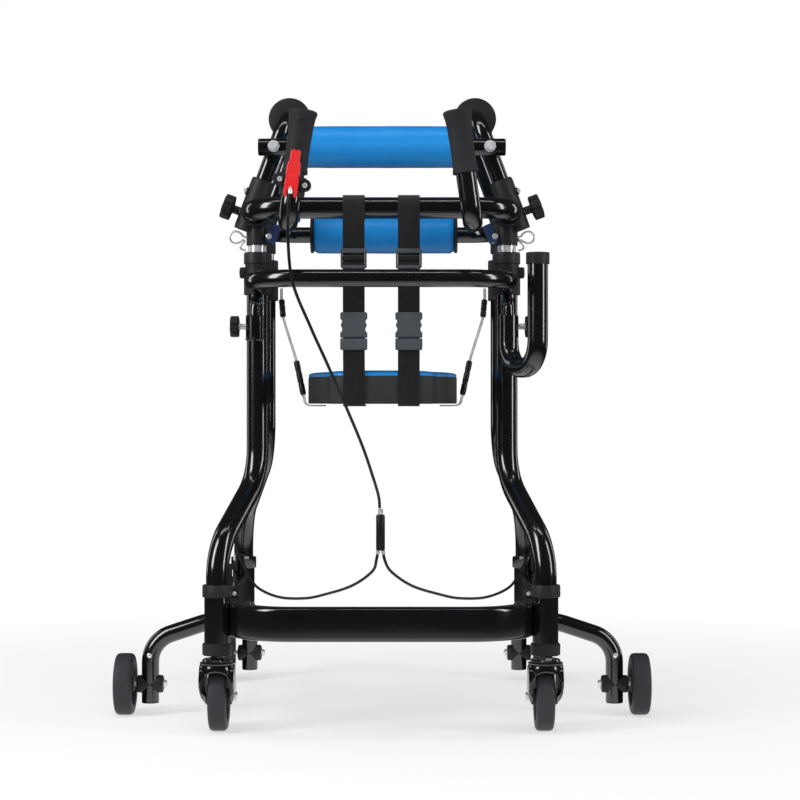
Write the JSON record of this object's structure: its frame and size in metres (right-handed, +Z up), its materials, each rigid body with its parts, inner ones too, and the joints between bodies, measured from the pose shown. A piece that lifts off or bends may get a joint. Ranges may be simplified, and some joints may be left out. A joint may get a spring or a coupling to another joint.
{
  "type": "rehabilitation walker",
  "caption": "Height-adjustable rehabilitation walker with swivel casters, outrigger wheels, padded underarm hoops, chest and hip rolls, a hanging seat, hand grips and a rear brake lever.",
  "frame": {"origin": "floor, centre of the footprint", "axes": "+Z up, the user faces -Y, +X to the viewer's right seen from the front (-Y) side"},
  "size_m": [0.8354, 0.8125, 0.9542],
  "materials": {
    "gloss_black_paint": "gloss black powder coat",
    "matte_black_plastic": "matte moulded black plastic",
    "grip_rubber": "matte moulded rubber",
    "wheel_rubber": "dark grey rubber",
    "blue_cover": "glossy blue coated cloth over foam",
    "bright_steel": "bright steel",
    "red_lever": "gloss red",
    "black_webbing": "woven black webbing",
    "grey_buckle": "matte grey black plastic",
    "seat_side_band": "black coated cloth band"
  },
  "bodies": {
    "frame": {"base_frame": "gloss_black_paint", "front_leg_left": "gloss_black_paint", "front_leg_right": "gloss_black_paint", "rear_leg_left": "gloss_black_paint", "rear_leg_right": "gloss_black_paint", "post_collar_left": "matte_black_plastic", "post_collar_right": "matte_black_plastic", "lower_ring": "gloss_black_paint", "outrigger_axle_left": "matte_black_plastic", "outrigger_axle_right": "matte_black_plastic", "rear_axle_left": "matte_black_plastic", "rear_axle_right": "matte_black_plastic", "seat_board": "seat_side_band", "seat_cushion": "blue_cover", "seat_rope_left": "bright_steel", "seat_rope_right": "bright_steel", "buckle_left": "grey_buckle", "buckle_right": "grey_buckle", "strap_left": "black_webbing", "strap_right": "black_webbing", "main_cable": "matte_black_plastic", "branch_cable_left": "matte_black_plastic", "branch_cable_right": "matte_black_plastic", "peg_sleeve": "gloss_black_paint"},
    "upper_frame": {"side_frame_left": "matte_black_plastic", "side_frame_right": "matte_black_plastic", "upper_ring": "gloss_black_paint", "hoop_left": "gloss_black_paint", "hoop_right": "gloss_black_paint", "underarm_pad_left": "blue_cover", "underarm_pad_right": "blue_cover", "pad_disc_left": "matte_black_plastic", "pad_disc_right": "matte_black_plastic", "chest_bar": "gloss_black_paint", "chest_roll": "blue_cover", "handle_left": "gloss_black_paint", "handle_right": "gloss_black_paint", "grip_left": "grip_rubber", "grip_right": "grip_rubber", "lever_bracket": "matte_black_plastic"},
    "hip_support": {"hip_bar": "gloss_black_paint", "hip_roll": "blue_cover"},
    "brake_lever": {"brake_lever": "red_lever"},
    "brake_arm_left": {"brake_arm_left": "matte_black_plastic"},
    "brake_arm_right": {"brake_arm_right": "matte_black_plastic"},
    "caster_fork_left": {"caster_fork_left": "gloss_black_paint"},
    "caster_fork_right": {"caster_fork_right": "gloss_black_paint"},
    "caster_wheel_left": {"caster_wheel_left": "wheel_rubber"},
    "caster_wheel_right": {"caster_wheel_right": "wheel_rubber"},
    "outrigger_wheel_left": {"outrigger_wheel_left": "wheel_rubber"},
    "outrigger_wheel_right": {"outrigger_wheel_right": "wheel_rubber"},
    "rear_wheel_left": {"rear_wheel_left": "wheel_rubber"},
    "rear_wheel_right": {"rear_wheel_right": "wheel_rubber"},
    "spring_clip_left": {"spring_clip_left": "bright_steel"},
    "spring_clip_right": {"spring_clip_right": "bright_steel"},
    "star_knob_left": {"star_knob_left": "matte_black_plastic"},
    "star_knob_right": {"star_knob_right": "matte_black_plastic"},
    "peg_knob_left": {"peg_knob_left": "matte_black_plastic"},
    "peg_knob_right": {"peg_knob_right": "matte_black_plastic"},
    "holder": {"holder_tube": "gloss_black_paint"}
  },
  "joints": [
    {"name": "height_slide", "type": "slide", "parent": "frame", "child": "upper_frame", "axis": [0, 0, 1], "range_m": [0, 0.2], "deforming": ["strap_left", "strap_right", "main_cable"]},
    {"name": "hip_slide", "type": "slide", "parent": "upper_frame", "child": "hip_support", "axis": [0, 1, 0], "range_m": [0, 0.06]},
    {"name": "brake_lever_hinge", "type": "hinge", "parent": "upper_frame", "child": "brake_lever", "pos_m": [-0.11861, -0.398, 0.796], "axis": [-0.9903, 0, 0.1388], "range_deg": [0, 10]},
    {"name": "caster_swivel_left", "type": "hinge", "parent": "frame", "child": "caster_fork_left", "pos_m": [-0.24, -0.197, 0.105], "axis": [0, 0, 1], "continuous": true},
    {"name": "caster_wheel_spin_left", "type": "hinge", "parent": "caster_fork_left", "child": "caster_wheel_left", "pos_m": [-0.24, -0.169, 0.05], "axis": [1, 0, 0], "continuous": true},
    {"name": "outrigger_wheel_spin_left", "type": "hinge", "parent": "frame", "child": "outrigger_wheel_left", "pos_m": [-0.399, -0.019, 0.0475], "axis": [1, 0, 0], "continuous": true},
    {"name": "rear_wheel_spin_left", "type": "hinge", "parent": "frame", "child": "rear_wheel_left", "pos_m": [-0.276, 0.363, 0.0475], "axis": [1, 0, 0], "continuous": true},
    {"name": "brake_arm_hinge_left", "type": "hinge", "parent": "frame", "child": "brake_arm_left", "pos_m": [-0.2538, 0.331, 0.215], "axis": [1, 0, 0], "range_deg": [0, 2.8]},
    {"name": "spring_clip_slide_left", "type": "slide", "parent": "upper_frame", "child": "spring_clip_left", "axis": [-1, 0, 0], "range_m": [0, 0.03]},
    {"name": "star_knob_turn_left", "type": "hinge", "parent": "upper_frame", "child": "star_knob_left", "pos_m": [-0.20042, -0.072, 0.7695], "axis": [-0.9379, 0, 0.347], "continuous": true},
    {"name": "peg_knob_turn_left", "type": "hinge", "parent": "frame", "child": "peg_knob_left", "pos_m": [-0.19, -0.124, 0.598], "axis": [1, 0, 0], "continuous": true},
    {"name": "caster_swivel_right", "type": "hinge", "parent": "frame", "child": "caster_fork_right", "pos_m": [0.24, -0.197, 0.105], "axis": [0, 0, 1], "continuous": true},
    {"name": "caster_wheel_spin_right", "type": "hinge", "parent": "caster_fork_right", "child": "caster_wheel_right", "pos_m": [0.24, -0.169, 0.05], "axis": [1, 0, 0], "continuous": true},
    {"name": "outrigger_wheel_spin_right", "type": "hinge", "parent": "frame", "child": "outrigger_wheel_right", "pos_m": [0.399, -0.019, 0.0475], "axis": [1, 0, 0], "continuous": true},
    {"name": "rear_wheel_spin_right", "type": "hinge", "parent": "frame", "child": "rear_wheel_right", "pos_m": [0.276, 0.363, 0.0475], "axis": [1, 0, 0], "continuous": true},
    {"name": "brake_arm_hinge_right", "type": "hinge", "parent": "frame", "child": "brake_arm_right", "pos_m": [0.2538, 0.331, 0.215], "axis": [1, 0, 0], "range_deg": [0, 2.8]},
    {"name": "spring_clip_slide_right", "type": "slide", "parent": "upper_frame", "child": "spring_clip_right", "axis": [1, 0, 0], "range_m": [0, 0.03]},
    {"name": "star_knob_turn_right", "type": "hinge", "parent": "upper_frame", "child": "star_knob_right", "pos_m": [0.20042, -0.072, 0.7695], "axis": [0.9379, 0, 0.347], "continuous": true},
    {"name": "peg_knob_turn_right", "type": "hinge", "parent": "holder", "child": "peg_knob_right", "pos_m": [0.19, -0.124, 0.598], "axis": [1, 0, 0], "continuous": true},
    {"name": "holder_swivel", "type": "hinge", "parent": "frame", "child": "holder", "pos_m": [0.19, -0.124, 0.6], "axis": [0, 0, 1], "range_deg": [0, 45]}
  ],
  "couplings": [
    {"joint": "brake_arm_hinge_left", "follows": "brake_lever_hinge", "ratio": 0.28},
    {"joint": "brake_arm_hinge_right", "follows": "brake_lever_hinge", "ratio": 0.28}
  ]
}
